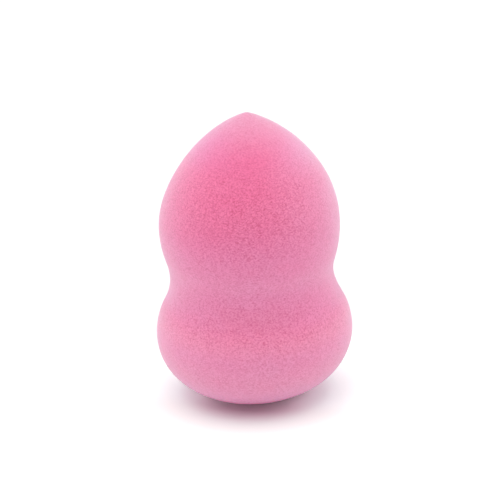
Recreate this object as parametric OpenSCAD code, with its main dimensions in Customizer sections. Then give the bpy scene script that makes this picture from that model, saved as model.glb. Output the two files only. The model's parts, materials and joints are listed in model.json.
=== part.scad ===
// Makeup sponge: a one-piece foam moulding with two bulbs, a waist between them and a blunt tip.
// Lengths are in millimetres and angles in degrees. The sponge stands on z = 0 along +Z.

/* [Overall] */
// Height from the flat foot to the tip.
body_height = 60.4; // [52:0.1:70]

/* [Lower bulb] */
// Diameter of the lower bulb at its widest ring.
bulb_d = 40; // [36:0.2:44]
// Height of that ring above the foot.
bulb_ring_z = 14.1; // [13:0.1:17]
// Radius of the arc that the lower bulb's side follows.
bulb_side_r = 12.2; // [8.5:0.1:12.5]
// Height of the rounded bottom that is cut away to leave the flat foot.
foot_depth = 0.5; // [0.2:0.1:1.5]

/* [Waist] */
// Radius of the hollow arc that joins the two bulbs.
waist_r = 12.3; // [4:0.1:25]

/* [Upper bulb] */
// Diameter of the upper bulb at its widest ring.
top_d = 36.4; // [33:0.2:40]
// Height of the crown, from that ring up to the tip.
crown_height = 23.9; // [22:0.1:27]
// Radius of the arc that the upper bulb's side follows.
top_side_r = 21.3; // [17:0.1:23]
// Angle above that ring at which the side gives way to the flatter shoulder.
shoulder_turn = 29; // [14:1:35]
// Radius that blunts the tip.
tip_r = 2.1; // [1:0.1:5]

/* [Hidden] */
// Largest turn between two neighbouring points of an outline arc, in degrees.
arc_step = 4;
// Sides round the axis in the drawn mesh.
round_sides = 96;
// Pink of the foam.
foam_pink = [0.93, 0.53, 0.68];

// Unit vector at an angle, with zero along +X.
function heading(angle) = [cos(angle), sin(angle)];

// Angle of the line from one point to another.
function bearing(from, to) = atan2(to[1] - from[1], to[0] - from[0]);

// The same direction, given as an angle from zero up to a full turn.
function full_turn(angle) = angle < 0 ? angle + 360 : angle;

// Points along an arc, from its start up to but not onto its end.
function arc_points(centre, radius, start, end) =
    let (steps = max(1, ceil(abs(end - start) / arc_step)))
    [for (i = [0 : steps - 1]) centre + radius * heading(start + (end - start) * i / steps)];

// Centres of the two side arcs, each on the level of its widest ring.
top_ring_z = body_height - crown_height;
bulb_centre = [bulb_d / 2 - bulb_side_r, bulb_ring_z];
top_centre = [top_d / 2 - top_side_r, top_ring_z];

// Bottom dome: centred on the axis, it runs inside the bulb's side arc and touches it once.
dome_drop = bulb_ring_z + foot_depth;
dome_r = (pow(bulb_centre[0], 2) + pow(dome_drop, 2) - pow(bulb_side_r, 2))
    / (2 * (dome_drop - bulb_side_r));
dome_centre = [0, dome_r - foot_depth];
foot_r = sqrt(pow(dome_r, 2) - pow(dome_centre[1], 2));

// Waist arc: it touches both side arcs from outside, so its centre is as far from each
// as the two radii together.
bulb_reach = bulb_side_r + waist_r;
top_reach = top_side_r + waist_r;
centres_apart = norm(top_centre - bulb_centre);
centres_line = (top_centre - bulb_centre) / centres_apart;
waist_along = (pow(bulb_reach, 2) - pow(top_reach, 2) + pow(centres_apart, 2)) / (2 * centres_apart);
waist_out = sqrt(pow(bulb_reach, 2) - pow(waist_along, 2));
waist_centre = bulb_centre + waist_along * centres_line
    + waist_out * [centres_line[1], -centres_line[0]];

// Shoulder arc: it leaves the upper side arc at shoulder_turn without a kink, and its radius
// is the one that also meets the rounded tip at the full height.
tip_centre = [0, body_height - tip_r];
tip_offset = tip_centre - top_centre;
side_less_tip = top_side_r - tip_r;
shoulder_back = (tip_offset * tip_offset - pow(side_less_tip, 2))
    / (2 * (side_less_tip - tip_offset * heading(shoulder_turn)));
shoulder_r = top_side_r + shoulder_back;
shoulder_centre = top_centre - shoulder_back * heading(shoulder_turn);

// Angles at which each arc hands over to the next, from the foot up to the tip.
foot_angle = bearing(dome_centre, [foot_r, 0]);
dome_end = bearing(dome_centre, bulb_centre);
bulb_end = bearing(bulb_centre, waist_centre);
waist_start = full_turn(bearing(waist_centre, bulb_centre));
waist_end = full_turn(bearing(waist_centre, top_centre));
top_start = bearing(top_centre, waist_centre);
tip_start = bearing(shoulder_centre, tip_centre);

// Half outline of the sponge, from the middle of the foot round to the tip.
outline = concat(
    [[0, 0]],
    arc_points(dome_centre, dome_r, foot_angle, dome_end),
    arc_points(bulb_centre, bulb_side_r, dome_end, bulb_end),
    arc_points(waist_centre, waist_r, waist_start, waist_end),
    arc_points(top_centre, top_side_r, top_start, shoulder_turn),
    arc_points(shoulder_centre, shoulder_r, shoulder_turn, tip_start),
    arc_points(tip_centre, tip_r, tip_start, 90),
    [[0, body_height]]
);

// The whole sponge is one foam moulding, turned from the half outline.
module foam_body() {
    color(foam_pink)
        rotate_extrude($fn = round_sides)
            polygon(outline);
}

foam_body();
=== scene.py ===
# %% [markdown]
# # Makeup sponge
# A gourd-shaped makeup sponge is one piece of soft foam: a wide bulb to stand on, a shallow
# waist for the fingers and a smaller bulb with a blunt tip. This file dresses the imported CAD
# model of it. It opens the model as a fixed frame, makes the foam as a fine mesh in the same
# place, gives it a finish made of shader nodes, and sets it on a white floor in soft light.

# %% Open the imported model
import json
import math

import bpy
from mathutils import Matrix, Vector

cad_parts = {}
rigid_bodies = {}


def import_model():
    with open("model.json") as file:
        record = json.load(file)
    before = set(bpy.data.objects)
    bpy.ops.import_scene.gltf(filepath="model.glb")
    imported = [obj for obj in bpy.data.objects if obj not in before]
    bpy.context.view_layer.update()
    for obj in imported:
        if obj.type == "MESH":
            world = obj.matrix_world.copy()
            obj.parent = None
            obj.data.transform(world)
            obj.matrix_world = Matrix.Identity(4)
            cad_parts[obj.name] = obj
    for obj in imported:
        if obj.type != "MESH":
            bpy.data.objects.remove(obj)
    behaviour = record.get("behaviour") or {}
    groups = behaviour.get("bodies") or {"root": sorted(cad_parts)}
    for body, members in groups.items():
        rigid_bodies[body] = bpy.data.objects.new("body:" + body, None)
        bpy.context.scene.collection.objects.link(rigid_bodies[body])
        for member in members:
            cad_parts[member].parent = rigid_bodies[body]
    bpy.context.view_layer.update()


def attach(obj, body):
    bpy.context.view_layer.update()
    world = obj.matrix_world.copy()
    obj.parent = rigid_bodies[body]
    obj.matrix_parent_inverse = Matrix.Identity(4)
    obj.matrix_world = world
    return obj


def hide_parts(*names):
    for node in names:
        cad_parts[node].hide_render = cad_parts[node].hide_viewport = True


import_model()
MM = 0.001

# %% [markdown]
# The camera comes first, because every later choice is judged through it. A product shot like
# this is taken with a long lens from a little above the table, so the outline hardly spreads
# with distance. The sponge in the picture leans a touch to the left. Turning the camera about
# its own view line by the same angle shows that lean and leaves the sponge upright.

# %% Camera
CAMERA_RISE = math.radians(22.0)
CAMERA_ROLL = math.radians(1.94)
CAMERA_DISTANCE = 450 * MM
CAMERA_TARGET = Vector((-0.24, 0.0, 31.157)) * MM
SENSOR = 36.0
PICTURE_PIXELS = 500
PIXELS_PER_MM = 4.953
NEAREST_SEEN, FARTHEST_SEEN = 0.01, 10.0

view_back = Vector((0.0, -math.cos(CAMERA_RISE), math.sin(CAMERA_RISE)))
camera = bpy.data.objects.new("camera", bpy.data.cameras.new("camera"))
bpy.context.scene.collection.objects.link(camera)
camera.data.sensor_width = SENSOR
camera.data.lens = PIXELS_PER_MM * CAMERA_DISTANCE / MM * SENSOR / PICTURE_PIXELS
camera.data.clip_start = NEAREST_SEEN
camera.data.clip_end = FARTHEST_SEEN
camera.location = CAMERA_TARGET + view_back * CAMERA_DISTANCE
aim = (-view_back).to_track_quat("-Z", "Y").to_matrix().to_4x4()
camera.rotation_euler = (aim @ aim.Rotation(-CAMERA_ROLL, 4, "Z")).to_euler()
bpy.context.scene.camera = camera
bpy.context.scene.view_settings.view_transform = "Standard"
print("lens, mm:", round(camera.data.lens, 1))

# %% [markdown]
# The mould that shapes such a sponge is turned on a lathe, so one half outline describes all
# of it. The outline is a chain of arcs that meet without a kink: a shallow dome under the
# lower bulb, the bulb's round side, the hollow of the waist, the long side of the upper bulb,
# a flatter shoulder and a small round at the tip. It could also be drawn as a spline through
# a few points, but arcs keep the sizes of the CAD model, which are measured on arcs.

# %% Sizes of the sponge, in millimetres
HEIGHT = 60.4
BULB_D = 40.0
BULB_RING_Z = 14.1
BULB_SIDE_R = 12.2
FOOT_DEPTH = 0.5
WAIST_R = 12.3
TOP_D = 36.4
CROWN_HEIGHT = 23.9
TOP_SIDE_R = 21.3
SHOULDER_TURN = math.radians(29.0)
TIP_R = 2.1
print("sponge, mm:", HEIGHT, "tall and", BULB_D, "across")

# %% [markdown]
# Three small helpers draw the outline: a direction from an angle, the angle of a line, and
# the points along an arc. An arc stops one step short of its end, where the next one starts.

# %% Helpers for arcs
ARC_STEP = math.radians(2.0)
FULL_TURN = 2 * math.pi


def heading(angle):
    """Unit vector in the outline's plane, with zero pointing outwards."""
    return Vector((math.cos(angle), math.sin(angle)))


def bearing(start, end):
    """Angle of the line from one point to another."""
    return math.atan2(end.y - start.y, end.x - start.x)


def arc(centre, radius, start, end, step=ARC_STEP):
    """Points along an arc, up to but not onto its end."""
    count = max(1, math.ceil(abs(end - start) / step))
    return [centre + radius * heading(start + (end - start) * i / count) for i in range(count)]


print("points in a quarter turn:", len(arc(Vector((0.0, 0.0)), 1.0, 0.0, math.pi / 2)))

# %% [markdown]
# Each arc's centre follows from the arcs that it touches. Two circles that touch from inside
# have centres as far apart as their radii differ, and two that touch from outside as far as
# their radii add up. That is all the geometry there is in the outline.

# %% Centres of the arcs
bulb_centre = Vector((BULB_D / 2 - BULB_SIDE_R, BULB_RING_Z))
top_centre = Vector((TOP_D / 2 - TOP_SIDE_R, HEIGHT - CROWN_HEIGHT))

dome_drop = BULB_RING_Z + FOOT_DEPTH
dome_r = (bulb_centre.x**2 + dome_drop**2 - BULB_SIDE_R**2) / (2 * (dome_drop - BULB_SIDE_R))
dome_centre = Vector((0.0, dome_r - FOOT_DEPTH))
foot_r = math.sqrt(dome_r**2 - dome_centre.y**2)

apart = (top_centre - bulb_centre).length
line = (top_centre - bulb_centre) / apart
bulb_reach, top_reach = BULB_SIDE_R + WAIST_R, TOP_SIDE_R + WAIST_R
along = (bulb_reach**2 - top_reach**2 + apart**2) / (2 * apart)
out = math.sqrt(bulb_reach**2 - along**2)
waist_centre = bulb_centre + along * line + out * Vector((line.y, -line.x))

tip_centre = Vector((0.0, HEIGHT - TIP_R))
tip_offset = tip_centre - top_centre
side_less_tip = TOP_SIDE_R - TIP_R
back = (tip_offset.length_squared - side_less_tip**2) / (
    2 * (side_less_tip - tip_offset.dot(heading(SHOULDER_TURN)))
)
shoulder_centre = top_centre - back * heading(SHOULDER_TURN)
print("foot across, mm:", round(2 * foot_r, 2),
      "waist across, mm:", round(2 * (waist_centre.x - WAIST_R), 2))

# %% [markdown]
# The arcs are now joined from the middle of the foot round to the tip. Each one ends at the
# angle from its own centre towards the centre of the next.

# %% Half outline
TIP_STEP = math.radians(6.0)

dome_end = bearing(dome_centre, bulb_centre)
tip_start = bearing(shoulder_centre, tip_centre)
outline = (
    [Vector((0.0, 0.0)), Vector((foot_r / 2, 0.0))]
    + arc(dome_centre, dome_r, bearing(dome_centre, Vector((foot_r, 0.0))), dome_end)
    + arc(bulb_centre, BULB_SIDE_R, dome_end, bearing(bulb_centre, waist_centre))
    + arc(waist_centre, WAIST_R, bearing(waist_centre, bulb_centre) % FULL_TURN,
          bearing(waist_centre, top_centre) % FULL_TURN)
    + arc(top_centre, TOP_SIDE_R, bearing(top_centre, waist_centre), SHOULDER_TURN)
    + arc(shoulder_centre, TOP_SIDE_R + back, SHOULDER_TURN, tip_start)
    + arc(tip_centre, TIP_R, tip_start, math.pi / 2, step=TIP_STEP)
    + [Vector((0.0, HEIGHT))]
)
print("outline points:", len(outline))

# %% [markdown]
# A lathe in Blender is the Spin tool. A plane is merged to one point at the middle of the
# foot, that point is extruded along the outline, and the line of edges is spun a full turn
# about the upright axis. The first and last copies land on each other, so doubles are merged,
# and the normals are turned outwards, because a spin can leave them facing in.

# %% Turn the form
SPIN_STEPS = 160
SAME_POINT = 0.001 * MM


def deselect_all():
    """Leaves nothing selected, because an operator acts on all that is."""
    bpy.ops.object.select_all(action="DESELECT")


deselect_all()
bpy.ops.mesh.primitive_plane_add(size=MM, location=(0.0, 0.0, 0.0))
form = bpy.context.object
form.name = "turned_form"
bpy.ops.object.mode_set(mode="EDIT")
bpy.ops.mesh.select_all(action="SELECT")
bpy.ops.mesh.merge(type="CENTER")
for here, there in zip(outline, outline[1:]):
    move = (there - here) * MM
    bpy.ops.mesh.extrude_region_move(TRANSFORM_OT_translate={"value": (move.x, 0.0, move.y)})
bpy.ops.mesh.select_all(action="SELECT")
bpy.ops.mesh.spin(steps=SPIN_STEPS, angle=FULL_TURN, center=(0.0, 0.0, 0.0),
                  axis=(0.0, 0.0, 1.0))
bpy.ops.mesh.select_all(action="SELECT")
bpy.ops.mesh.remove_doubles(threshold=SAME_POINT)
bpy.ops.mesh.normals_make_consistent(inside=False)
bpy.ops.object.mode_set(mode="OBJECT")
print("turned form:", len(form.data.polygons), "faces")

# %% [markdown]
# A spun mesh has long thin faces at the poles, and foam needs the same fine net all over. So
# a copy is remeshed into even squares, which the Shrinkwrap modifier then lays back onto the
# turned form, because remeshing alone leaves faint steps. A net of a third of a millimetre
# carries the foam's unevenness and stays under 200,000 triangles.

# %% Even skin
NET = 0.325 * MM

deselect_all()
form.select_set(True)
bpy.context.view_layer.objects.active = form
bpy.ops.object.duplicate()
foam = bpy.context.object
foam.name = "foam_sponge"


def apply_modifier(piece, name, kind, **settings):
    """Adds a modifier, sets it and applies it to the piece's mesh."""
    modifier = piece.modifiers.new(name, kind)
    for key, value in settings.items():
        setattr(modifier, key, value)
    bpy.context.view_layer.objects.active = piece
    bpy.ops.object.modifier_apply(modifier=name)


apply_modifier(foam, "even_net", "REMESH", mode="VOXEL", voxel_size=NET, use_smooth_shade=True)
apply_modifier(foam, "lay_on_form", "SHRINKWRAP", target=form,
               wrap_method="NEAREST_SURFACEPOINT")
print("skin:", len(foam.data.polygons), "faces")

# %% [markdown]
# Where the hollow of the waist gives way to the upper bulb, the outline's curve changes at
# once from hollow to round. The eye would see that as a faint line across the foam, which the
# real, softer form doesn't show. One more arc between the two would soften it, but the CAD
# model has no such arc. So the Smooth modifier averages each point with its neighbours, and a
# vertex group keeps it to a band round that height. Applying a modifier makes the mesh and
# its groups anew, so a group is called by its name and never kept in a variable.

# %% Soften the change of curve
TURN_Z = (top_centre + TOP_SIDE_R * heading(bearing(top_centre, waist_centre))).y * MM
SOFT_BAND = 7.0 * MM
SOFT_SHARE = 0.5
SOFT_ROUNDS = 80
SOFT_GROUP = "soft_band"


def weigh_by_height(piece, group_name, weight):
    """Fills a new vertex group with weights that follow from each point's height."""
    group = piece.vertex_groups.new(name=group_name)
    for vertex in piece.data.vertices:
        group.add([vertex.index], weight(vertex.co.z), "REPLACE")


weigh_by_height(foam, SOFT_GROUP, lambda z: max(0.0, 1.0 - ((z - TURN_Z) / SOFT_BAND)**2))
apply_modifier(foam, "soften", "SMOOTH", factor=SOFT_SHARE, iterations=SOFT_ROUNDS,
               vertex_group=SOFT_GROUP)
print("change of curve at, mm:", round(TURN_Z / MM, 1))

# %% [markdown]
# Moulded foam is never quite true. Slow swells a centimetre or so across come from the foam
# settling in the mould, and a finer unevenness from the skin being ground off. A sculptor
# would brush them on. Here both are Displace modifiers, which move the real surface and come
# out the same on every run. The flat foot is left out by a vertex group, so that the sponge
# still stands on a plane.

# %% Unevenness of the foam
FOOT_FADE = 1.5 * MM
SWELL_SIZE, SWELL_DEPTH = 11.0 * MM, 0.16 * MM
GROUND_SIZE, GROUND_DEPTH = 1.4 * MM, 0.035 * MM
OFF_FOOT_GROUP = "foot_free"

weigh_by_height(foam, OFF_FOOT_GROUP, lambda z: min(1.0, max(0.0, z / FOOT_FADE)))


def swell(name, size, depth):
    """Moves the foam's surface in and out by a soft noise of that size and depth."""
    clouds = bpy.data.textures.new(name, "CLOUDS")
    clouds.noise_scale = size
    clouds.noise_depth = 1
    apply_modifier(foam, name, "DISPLACE", texture=clouds, texture_coords="LOCAL",
                   strength=depth, mid_level=0.5, vertex_group=OFF_FOOT_GROUP)


swell("slow_swell", SWELL_SIZE, SWELL_DEPTH)
swell("ground_skin", GROUND_SIZE, GROUND_DEPTH)
print("tallest point, mm:", round(max(vertex.co.z for vertex in foam.data.vertices) / MM, 2))

# %% [markdown]
# Fingers squeeze such a sponge at the waist, and foam keeps a trace of it. The shoulder of the
# lower bulb stands a little fuller than the mould made it, and the waist just above is drawn
# in, on the right more than on the left. A brush or a lattice could press it in. One formula
# of the height is easier to measure: it moves the points out from the axis below a level and
# in above it, and dies away smoothly on both sides.

# %% Fold under the waist
FOLD = 0.15 * MM
FOLD_RIGHT = 0.11 * MM
FOLD_LEVEL = 24.2 * MM
FOLD_REACH = 8.5 * MM

for vertex in foam.data.vertices:
    way_up = (vertex.co.z - FOLD_LEVEL) / FOLD_REACH
    if abs(way_up) < 1.0:
        from_axis = math.hypot(vertex.co.x, vertex.co.y)
        fold = FOLD + FOLD_RIGHT * vertex.co.x / from_axis
        push = -fold * math.sin(math.pi * way_up) * math.cos(math.pi * way_up / 2)**2
        vertex.co.x *= 1.0 + push / from_axis
        vertex.co.y *= 1.0 + push / from_axis
print("fold at the waist, mm:", round(FOLD / MM, 2), "and", round(FOLD_RIGHT / MM, 2))

# %% [markdown]
# A soft body also stands a little crooked. Seen from the front, this sponge's centre line
# weaves by a fifth of a millimetre to either side on its way up, a little under two waves in
# all. A Curve modifier could bend it, but for so slight a bend a sine of the height, which
# moves every point sideways, does as well. The turned form has done its work, so it is deleted.

# %% Weave of the centre line
WEAVE = 0.21 * MM
WEAVE_LENGTH = 33.4 * MM
WEAVE_START = -1.845

for vertex in foam.data.vertices:
    vertex.co.x += WEAVE * math.sin(FULL_TURN * vertex.co.z / WEAVE_LENGTH + WEAVE_START)

deselect_all()
form.select_set(True)
bpy.ops.object.delete()
print("waves up the sponge:", round(HEIGHT * MM / WEAVE_LENGTH, 2))

# %% [markdown]
# Shader maths reads best as plain sums. `Wire` wraps the socket of a node, so that adding or
# multiplying two wires adds the Math node that does it. `fade` is the step that most masks
# are made of: 0 on one side, 1 on the other and a soft change between them.

# %% A wire between shader nodes


class Wire:
    """A value that flows between shader nodes."""

    def __init__(self, board, socket):
        self.board = board
        self.socket = socket

    def math(self, operation, first, second=0.0):
        """Adds a Math node and gives back its result."""
        return self.board.node("ShaderNodeMath", {"operation": operation},
                               {0: first, 1: second})

    def __add__(self, other):
        return self.math("ADD", self, other)

    __radd__ = __add__

    def __sub__(self, other):
        return self.math("SUBTRACT", self, other)

    def __rsub__(self, other):
        return self.math("SUBTRACT", other, self)

    def __mul__(self, other):
        return self.math("MULTIPLY", self, other)

    __rmul__ = __mul__

    def __abs__(self):
        return self.math("ABSOLUTE", self)

    def fade(self, low, high):
        """0 below low, 1 above high and a smooth step between them."""
        return self.board.node("ShaderNodeMapRange", {"interpolation_type": "SMOOTHSTEP"},
                               {"Value": self, "From Min": low, "From Max": high})


print("made the class Wire, whose values add, subtract, multiply and fade")

# %% [markdown]
# `Board` holds the node tree of a material or of the world. One method makes any node from
# its type, its settings and what goes into its sockets, and two more mix colours and join the
# finished surface to the output. A Mix node has a set of sockets for each kind of value, and
# those for colours share their names with the others, so they are picked by number.

# %% A board of shader nodes
MIX_SHARE, MIX_COLOUR_A, MIX_COLOUR_B, MIX_COLOUR_RESULT = 0, 6, 7, 2


class Board:
    """A node tree under construction: a material's or the world's."""

    def __init__(self, owner):
        owner.use_nodes = True
        self.owner = owner
        self.tree = owner.node_tree
        self.tree.nodes.clear()

    def node(self, kind, settings=None, inputs=None, output=0):
        """Adds a node, sets it, joins or fills its sockets and gives back one output."""
        node = self.tree.nodes.new(kind)
        for key, value in (settings or {}).items():
            setattr(node, key, value)
        for key, value in (inputs or {}).items():
            if isinstance(value, Wire):
                self.tree.links.new(value.socket, node.inputs[key])
            else:
                node.inputs[key].default_value = value
        return Wire(self, node.outputs[output])

    def blend(self, share, first, second, kind="MIX"):
        """Mixes two colours: share 0 gives the first and 1 the second."""
        return self.node("ShaderNodeMix", {"data_type": "RGBA", "blend_type": kind},
                         {MIX_SHARE: share, MIX_COLOUR_A: first, MIX_COLOUR_B: second},
                         output=MIX_COLOUR_RESULT)

    def close(self, surface, kind="ShaderNodeOutputMaterial"):
        """Joins the finished surface to the output and gives back the owner."""
        end = self.tree.nodes.new(kind)
        self.tree.links.new(surface.socket, end.inputs["Surface"])
        return self.owner


print("made the class Board, which adds nodes, blends colours and closes the tree")

# %% [markdown]
# The foam's grain comes first. The mould leaves a skin that is ground off, and what shows
# then is a fine mottle of pits with short creases that wander between them, all about half a
# millimetre across. A picture of foam could be laid over the mesh, but it would show seams,
# and noise has none. One noise gives the pits. A second gives the creases: they lie where it
# crosses its own middle value. The foam is flattened a little from top to bottom, so both
# patterns are squeezed along the height. A third, slow noise gives patches of stronger and
# weaker grain.

# %% Grain of the foam
GRAIN = 0.40 * MM
CREASE = 0.56 * MM
PATCH = 9.0 * MM
FLATNESS = (1.0, 1.0, 1.25)
NOISE_ROUGHNESS = 0.55
NOISE_MIDDLE = 0.5
PIT_DETAIL, CREASE_DETAIL, PATCH_DETAIL = 1.0, 0.0, 2.0
PIT_FLOOR, PIT_RIM = 0.25, 0.65
CREASE_WIDTH = 0.14

finish = Board(bpy.data.materials.new("foam_pink"))
place = finish.node("ShaderNodeTexCoord", output="Object")
flattened = finish.node("ShaderNodeVectorMath", {"operation": "MULTIPLY"},
                        {0: place, 1: FLATNESS})


def noise(size, detail, where=place):
    """Soft noise whose spots are about that size."""
    return finish.node("ShaderNodeTexNoise", {"noise_dimensions": "3D"},
                       {"Vector": where, "Scale": 1.0 / size, "Detail": detail,
                        "Roughness": NOISE_ROUGHNESS})


pits = 1.0 - noise(GRAIN, PIT_DETAIL, flattened).fade(PIT_FLOOR, PIT_RIM)
from_middle = abs(noise(CREASE, CREASE_DETAIL, flattened) - NOISE_MIDDLE)
crease = 1.0 - from_middle.fade(0.0, CREASE_WIDTH)
patches = noise(PATCH, PATCH_DETAIL)
print("pits, mm:", round(GRAIN / MM, 2), "creases, mm:", round(CREASE / MM, 2))

# %% [markdown]
# The foam's colour and grain change slowly over the sponge, so the material has to know where
# it is: how high, how far to the side, and how much the surface faces up. That could be
# painted onto the mesh, but masks of the height are as fine as any render asks. Each mask
# below is 1 in one zone and fades out softly over the heights given, in millimetres. The brow
# of a bulge is where it turns from facing out to facing up, `step_in` is the shoulder above
# the lower bulb's brow, and `pinch` is the stretch that the fingers drew in. `side` is
# measured in centimetres from the middle, less than nothing on the left, and its square says
# how near a flank is.

# %% Zones of the sponge
CENTIMETRE = 10.0 * MM

level = finish.node("ShaderNodeSeparateXYZ", inputs={"Vector": place}, output="Z")
side = (finish.node("ShaderNodeSeparateXYZ", inputs={"Vector": place}, output="X")
        * (1.0 / CENTIMETRE))
outward = finish.node("ShaderNodeNewGeometry", output="Normal")
facing_up = finish.node("ShaderNodeSeparateXYZ", inputs={"Vector": outward}, output="Z")


def above(low, high):
    """0 below the height low and 1 above high, both in millimetres."""
    return level.fade(low * MM, high * MM)


# Painted shade where the sponge stands on the floor: the lowest millimetres get a deeper pink
# and lose most of the sheen.
contact_shade = 1.0 - above(1.0, 6.0)
foot_shade_zone = 1.0 - above(1.0, 7.5)
near_foot = 1.0 - above(4.0, 17.0)
foot_side = 1.0 - above(4.0, 10.0)
underside = above(5.0, 9.0) * (1.0 - above(11.0, 15.0))
brow = above(14.5, 18.0) * (1.0 - above(18.5, 22.0))
step_in = above(19.0, 22.0) * (1.0 - above(23.0, 27.0))
pinch = above(23.0, 28.0) * (1.0 - above(30.0, 35.0))
bulb_face = above(15.0, 20.0)
bulb_shoulder = above(20.0, 26.0)
low_down = 1.0 - above(17.0, 33.0)
waist = above(18.0, 24.0) * (1.0 - above(36.0, 42.0))
hollow = above(21.0, 27.0) * (1.0 - above(33.0, 40.0))
upper = above(32.0, 46.0)
upper_face = above(36.0, 43.0)
toward_tip = above(46.0, 58.0)
upper_brow = above(40.0, 45.0) * (1.0 - above(49.0, 53.0))
crown = above(48.0, 54.0)
crown_flank = above(50.0, 57.0)
tip_sheen = above(53.0, 62.0)
print("nodes in the foam's zones:", len(finish.tree.nodes))

# %% [markdown]
# The foam's pink isn't one pink. It is drawn deepest on the faces that look up, and paler
# underneath, in the hollow of the waist and on the flanks of the upper bulb, and the right side
# a touch paler than the left. That paleness is painted sheen: the whitish veil that the white
# floor and the walls lay on the foam where it is seen at a slant. Only the slow patches are
# tone that differs at random. `sheen_and_tone_pallor` adds up these shares. It is the part of
# pale pink that is mixed into the deep pink, from 0 to 1. Each share was set by comparing the
# render with the photograph, strip by strip.

# %% How pale the foam is
PALE_SHARE = 0.305
UP_DEEPENS = 0.42
LOW_PALES = 0.33
FOOT_DEEPENS = 0.42
UNDERSIDE_PALES = 0.065
STEP_DEEPENS = 0.02
UPPER_BROW_DEEPENS = 0.062
HOLLOW_PALES = 0.045
RIGHT_PALES = {"waist": 0.02, "upper": 0.065, "upper brow": 0.03, "crown": 0.12}
FLANK_PALES = {"all": -0.053, "underside": -0.02, "brow": 0.022, "step": 0.025,
               "pinch": -0.05, "upper": 0.104, "upper brow": 0.012, "crown": 0.22}
PATCHINESS = 0.3
EVEN_PATCH = 0.5

# Painted sheen: a paler pink on the right side and on the flanks.
right_pales = (RIGHT_PALES["waist"] * waist + RIGHT_PALES["upper"] * upper
               + RIGHT_PALES["upper brow"] * upper_brow + RIGHT_PALES["crown"] * crown)
flank_pales = (FLANK_PALES["all"] + FLANK_PALES["underside"] * underside
               + FLANK_PALES["brow"] * brow + FLANK_PALES["step"] * step_in
               + FLANK_PALES["pinch"] * pinch + FLANK_PALES["upper"] * upper
               + FLANK_PALES["upper brow"] * upper_brow + FLANK_PALES["crown"] * crown)
# Painted sheen as paleness: deeper on faces that look up, paler below and in the waist; only
# the patch term is random tone.
sheen_and_tone_pallor = (PALE_SHARE - UP_DEEPENS * facing_up + LOW_PALES * low_down
          - FOOT_DEEPENS * near_foot + UNDERSIDE_PALES * underside
          - STEP_DEEPENS * step_in + HOLLOW_PALES * hollow
          - UPPER_BROW_DEEPENS * upper_brow
          + side * right_pales + side * side * flank_pales
          + (patches - EVEN_PATCH) * PATCHINESS)
print("nodes with the pallor:", len(finish.tree.nodes))

# %% [markdown]
# Other pinks are mixed in on top, zone by zone: a paler, duller one at the very tip, which is
# painted sheen of the overhead light, mauve in the waist and on the flanks of the crown, most
# on its left, a warmer, brighter pink on the brow of each bulge and a little of it under the
# lower one, which is painted light, painted shade on the shoulder above the lower bulb's brow,
# with a little of the same browner pink in the middle of the crown, lilac round the bottom, and
# a deep pink at the foot, which is painted shade where the sponge stands on the floor. One ramp
# along the height could hold them all, but then the mauve couldn't grow towards the flanks or
# the shade fade out there.

# %% Colour of the foam
PINK_DEEP = (0.905, 0.167, 0.375, 1.0)
PINK_PALE = (0.894, 0.412, 0.638, 1.0)
PINK_TIP_SHEEN = (0.824, 0.341, 0.522, 1.0)
PINK_MAUVE = (0.700, 0.310, 0.660, 1.0)
PINK_WARM_LIGHT = (1.000, 0.330, 0.465, 1.0)
PINK_SHADE = (0.590, 0.220, 0.090, 1.0)
PINK_LILAC = (0.720, 0.160, 0.700, 1.0)
PINK_FOOT_SHADE = (0.620, 0.070, 0.300, 1.0)
MAUVE_WAIST, MAUVE_BROW, MAUVE_FLANK, MAUVE_LEFT = 0.07, 0.035, 0.26, 0.11
WARM_UNDERSIDE, WARM_BROW, WARM_UPPER_BROW = 0.08, 0.26, 0.12
STEP_SHADE, CROWN_SHADE = 0.062, 0.025
LILAC_FOOT = 0.15

mauve = (MAUVE_WAIST * waist + MAUVE_BROW * side * side * upper_brow
         + crown_flank * side * (MAUVE_FLANK * side - MAUVE_LEFT))
shade = (STEP_SHADE * step_in + CROWN_SHADE * crown) * (1.0 - side * side)
# Painted light: a warmer, brighter pink on the brows, where the bulges turn up to the ceiling's
# light, and a little on the lower bulb's underside.
warm_light = WARM_UNDERSIDE * underside + WARM_BROW * brow + WARM_UPPER_BROW * upper_brow
body = finish.blend(sheen_and_tone_pallor, PINK_DEEP, PINK_PALE)
# Painted sheen: a paler, duller pink at the very tip, where the overhead light grazes it.
body = finish.blend(tip_sheen, body, PINK_TIP_SHEEN)
body = finish.blend(mauve, body, PINK_MAUVE)
body = finish.blend(warm_light, body, PINK_WARM_LIGHT)
body = finish.blend(shade, body, PINK_SHADE)
body = finish.blend(foot_side * LILAC_FOOT, body, PINK_LILAC)
# Painted shade: a deep pink over the foot's lowest millimetres.
body = finish.blend(contact_shade, body, PINK_FOOT_SHADE)
print("nodes with the colour:", len(finish.tree.nodes))

# %% [markdown]
# The grain is clearest on the faces of the two bulges and fainter below them, in the waist
# and towards the tip. `crisp` says how clear it is at each height. The pits and creases then
# darken the colour, because light is lost in them, and sink in the relief. Real pits in the
# mesh would need millions of faces, so the Bump node tilts the light on them instead.

# %% Grain over the colour
PINK_PIT = (0.566, 0.005, 0.102, 1.0)
CRISP = 0.94
BULB_SHARPENS = 0.24
SHOULDER_SOFTENS = 0.11
UPPER_SHARPENS = 0.25
TIP_SOFTENS = 0.6
LEAST_DEPTH, PATCH_DEPTH = 0.70, 0.36
RIGHT_SOFTENS, FLANK_SOFTENS = 0.07, 0.05
PIT_SHADE, CREASE_SHADE = 0.35, 0.204
PIT_SINKS, CREASE_SINKS = 0.5, 0.3
RELIEF_STRENGTH = 0.5
RELIEF_DEPTH = 0.04 * MM

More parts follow.
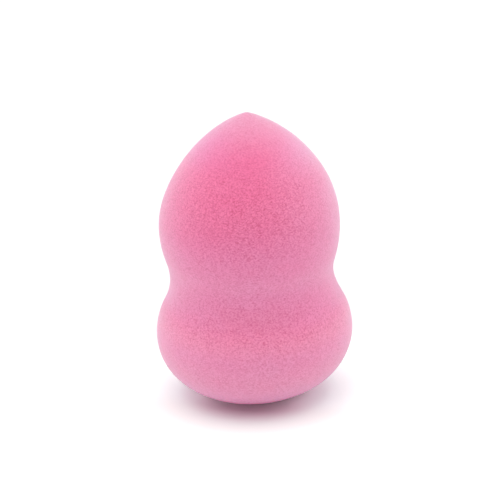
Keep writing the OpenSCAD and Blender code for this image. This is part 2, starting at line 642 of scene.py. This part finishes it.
crisp = (CRISP + bulb_face * (BULB_SHARPENS - SHOULDER_SOFTENS * bulb_shoulder)
         + UPPER_SHARPENS * upper_face - TIP_SOFTENS * toward_tip)
sideways_crisp = 1.0 - upper * side * (RIGHT_SOFTENS + FLANK_SOFTENS * side)
depth = (LEAST_DEPTH + PATCH_DEPTH * patches) * crisp * sideways_crisp
colour = finish.blend((pits * PIT_SHADE + crease * CREASE_SHADE) * depth, body, PINK_PIT)
relief = finish.node("ShaderNodeBump", inputs={
    "Strength": RELIEF_STRENGTH,
    "Distance": RELIEF_DEPTH,
    "Height": pits * -PIT_SINKS - crease * CREASE_SINKS,
})
print("nodes with the grain:", len(finish.tree.nodes))

# %% [markdown]
# Ground foam has a nap: fine upstanding cell walls that catch light at the edges of the shape,
# as velvet does. The sheen of the Principled shader does that. A little light also passes under
# the skin, redder than it went in, so the shading stays soft. Under the bulb most of the sheen
# is taken away, so that the edge there stays dark, which is painted shade where the sponge
# stands on the floor. The sheen is one number on each shader, so two shaders, with the nap and
# without, are mixed by height. A Mix Shader's two shaders share one name too, so `mix_shaders`
# fills them by number.

# %% Skin of the foam
FOAM_ROUGHNESS = 0.85
FOAM_GLOSS = 0.2
NAP = 0.79
NAP_SPREAD = 0.6
NAP_TINT = (1.0, 0.90, 1.0, 1.0)
UNDER_SKIN = 0.3
UNDER_SKIN_COLOUR = (1.0, 0.35, 0.5)
UNDER_SKIN_DEPTH = 1.2 * MM
NAP_LOST = 0.75


def foam_skin(nap):
    """The foam's shader, with that much nap standing up from the surface."""
    return finish.node("ShaderNodeBsdfPrincipled", {"subsurface_method": "RANDOM_WALK"}, {
        "Base Color": colour,
        "Roughness": FOAM_ROUGHNESS,
        "Specular IOR Level": FOAM_GLOSS,
        "Sheen Weight": nap,
        "Sheen Roughness": NAP_SPREAD,
        "Sheen Tint": NAP_TINT,
        "Subsurface Weight": UNDER_SKIN,
        "Subsurface Radius": UNDER_SKIN_COLOUR,
        "Subsurface Scale": UNDER_SKIN_DEPTH,
        "Normal": relief,
    })


def mix_shaders(share, first, second):
    """Mixes two shaders: share 0 gives the first and 1 the second."""
    return share.board.node("ShaderNodeMixShader", inputs={0: share, 1: first, 2: second})


# Painted shade: under the bulb the shader without sheen takes over, so the edge stays dark.
skin = mix_shaders(foot_shade_zone * NAP_LOST, foam_skin(NAP), foam_skin(0.0))
foam.data.materials.clear()
foam.data.materials.append(finish.close(skin))
print("material:", foam.data.materials[0].name, "with", len(finish.tree.nodes), "nodes")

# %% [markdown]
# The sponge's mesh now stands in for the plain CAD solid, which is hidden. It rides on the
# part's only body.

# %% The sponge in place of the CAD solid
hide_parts("foam_body")
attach(foam, "root")
print(foam.name, "stands in for foam_body:", len(foam.data.polygons), "faces")

# %% [markdown]
# The floor is a white sheet, so wide that a camera 10 degrees or more above the table sees
# nothing else behind the sponge. It could curve up into a backdrop, as in a studio, but from
# the picture's angle a flat sheet looks the same.

# %% Floor
FLOOR_SIZE = 4.0

deselect_all()
bpy.ops.mesh.primitive_plane_add(size=FLOOR_SIZE, location=(0.0, 0.0, 0.0))
floor = bpy.context.object
floor.name = "floor"
print("floor:", FLOOR_SIZE, "m wide")

# %% [markdown]
# The only shadow on the floor is the soft one under the bulb, where the sponge hides the light
# from it. A photographer lets such a floor go just past white, so that the far edge of the
# shadow vanishes, but more light would bleach the sponge too. So the card that throws light
# back onto the sponge keeps the colour of white card, and a second card shows to the camera and
# in glass or metal. Its colour changes with the distance from the middle of the foot. It is
# painted lighter in the shadow's core and beside the bulb than a card would be, which is
# painted light, a little darker and pinker along the shadow's fringe, which is painted shadow,
# and plain white from there on. Under these painted changes the shadow is still the one that
# the light leaves.

# %% White card
FLOOR_CARD = (0.905, 0.905, 0.905, 1.0)
SEEN_FOOT = (1.51, 1.44, 1.53, 1.0)
SEEN_CREASE = (1.07, 1.06, 1.10, 1.0)
SEEN_SHADOW = (1.12, 1.32, 1.23, 1.0)
SEEN_BESIDE = (1.41, 1.78, 1.66, 1.0)
SEEN_SIDE = (1.15, 1.42, 1.34, 1.0)
SEEN_FRINGE_SHADOW = (0.985, 0.92, 0.935, 1.0)
SEEN_FAR = (0.92, 0.92, 0.92, 1.0)
BESIDE_SKEW = 0.2
BESIDE_FROM, BESIDE_TO = -10.5 * MM, -4.0 * MM

card = Board(bpy.data.materials.new("white_card"))
spot = card.node("ShaderNodeTexCoord", output="Object")
away = card.node("ShaderNodeVectorMath", {"operation": "LENGTH"}, {0: spot}, output="Value")
sideways = card.node("ShaderNodeSeparateXYZ", inputs={"Vector": spot}, output="X")
backward = card.node("ShaderNodeSeparateXYZ", inputs={"Vector": spot}, output="Y")


def beyond(near, far):
    """0 nearer to the foot's middle than near and 1 past far, both in millimetres."""
    return away.fade(near * MM, far * MM)


beside = (backward + BESIDE_SKEW * sideways).fade(BESIDE_FROM, BESIDE_TO)
# Painted light: the seen card is lighter in the shadow's core and beside the bulb than the
# light leaves it.
foot_seen = card.blend(beyond(7.5, 10.0), SEEN_FOOT, SEEN_CREASE)
front_seen = card.blend(beyond(8.0, 15.5), foot_seen, SEEN_SHADOW)
side_seen = card.blend(beyond(10.5, 14.5), SEEN_BESIDE, SEEN_SIDE)
near_seen = card.blend(beside, front_seen, side_seen)
# Painted shadow: darker and pinker along the shadow's fringe, past where the light's own shadow
# fades.
fringe_shadow_seen = card.blend(beyond(15.5, 19.5), near_seen, SEEN_FRINGE_SHADOW, kind="MULTIPLY")
seen = card.blend(beyond(16.5, 40.0), fringe_shadow_seen, SEEN_FAR)
looked_at = (card.node("ShaderNodeLightPath", output="Is Camera Ray")
             + card.node("ShaderNodeLightPath", output="Is Glossy Ray")
             + card.node("ShaderNodeLightPath", output="Is Transmission Ray"))
lighting_card = card.node("ShaderNodeBsdfDiffuse", inputs={"Color": FLOOR_CARD})
seen_card = card.node("ShaderNodeBsdfDiffuse", inputs={"Color": seen})
floor.data.materials.append(card.close(mix_shaders(looked_at, lighting_card, seen_card)))
print("material:", floor.data.materials[0].name, "with", len(card.tree.nodes), "nodes")

# %% [markdown]
# The light comes from a tent of white cloth all round, as small products are often shot. It
# could be built from lamps with soft boxes. The world's background does the same with less
# noise, because its brightness can follow the direction. The ceiling is the brightest, the
# two side walls are next, the left one a shade stronger, and the front and back are dim. Over
# all directions the square of each share of a direction averages a third, so on average the
# tent is about as bright as plain white paper, and colours come out as written.

# %% Light tent
CEILING_GLOW = 1.94
WALL_GLOW = 0.89
TENT_GLOW = 0.01
LEFT_GLOW = 0.025
MEAN_SQUARE = 1 / 3

world = bpy.data.worlds.new("light_tent")
bpy.context.scene.world = world
tent = Board(world)
way = tent.node("ShaderNodeTexCoord", output="Generated")
across = tent.node("ShaderNodeSeparateXYZ", inputs={"Vector": way}, output="X")
upward = tent.node("ShaderNodeSeparateXYZ", inputs={"Vector": way}, output="Z")
glow = (TENT_GLOW + CEILING_GLOW * (upward * upward) + WALL_GLOW * (across * across)
        - LEFT_GLOW * across)
tent.close(tent.node("ShaderNodeBackground", inputs={"Color": glow, "Strength": 1.0}),
           "ShaderNodeOutputWorld")
print("mean glow of the tent:",
      round(TENT_GLOW + (CEILING_GLOW + WALL_GLOW) * MEAN_SQUARE, 2))

# %% [markdown]
# Dressing the sponge must not change its size. Here the scene is brought up to date once more
# with the finished model.

# %% Bring the scene up to date
bpy.context.view_layer.update()
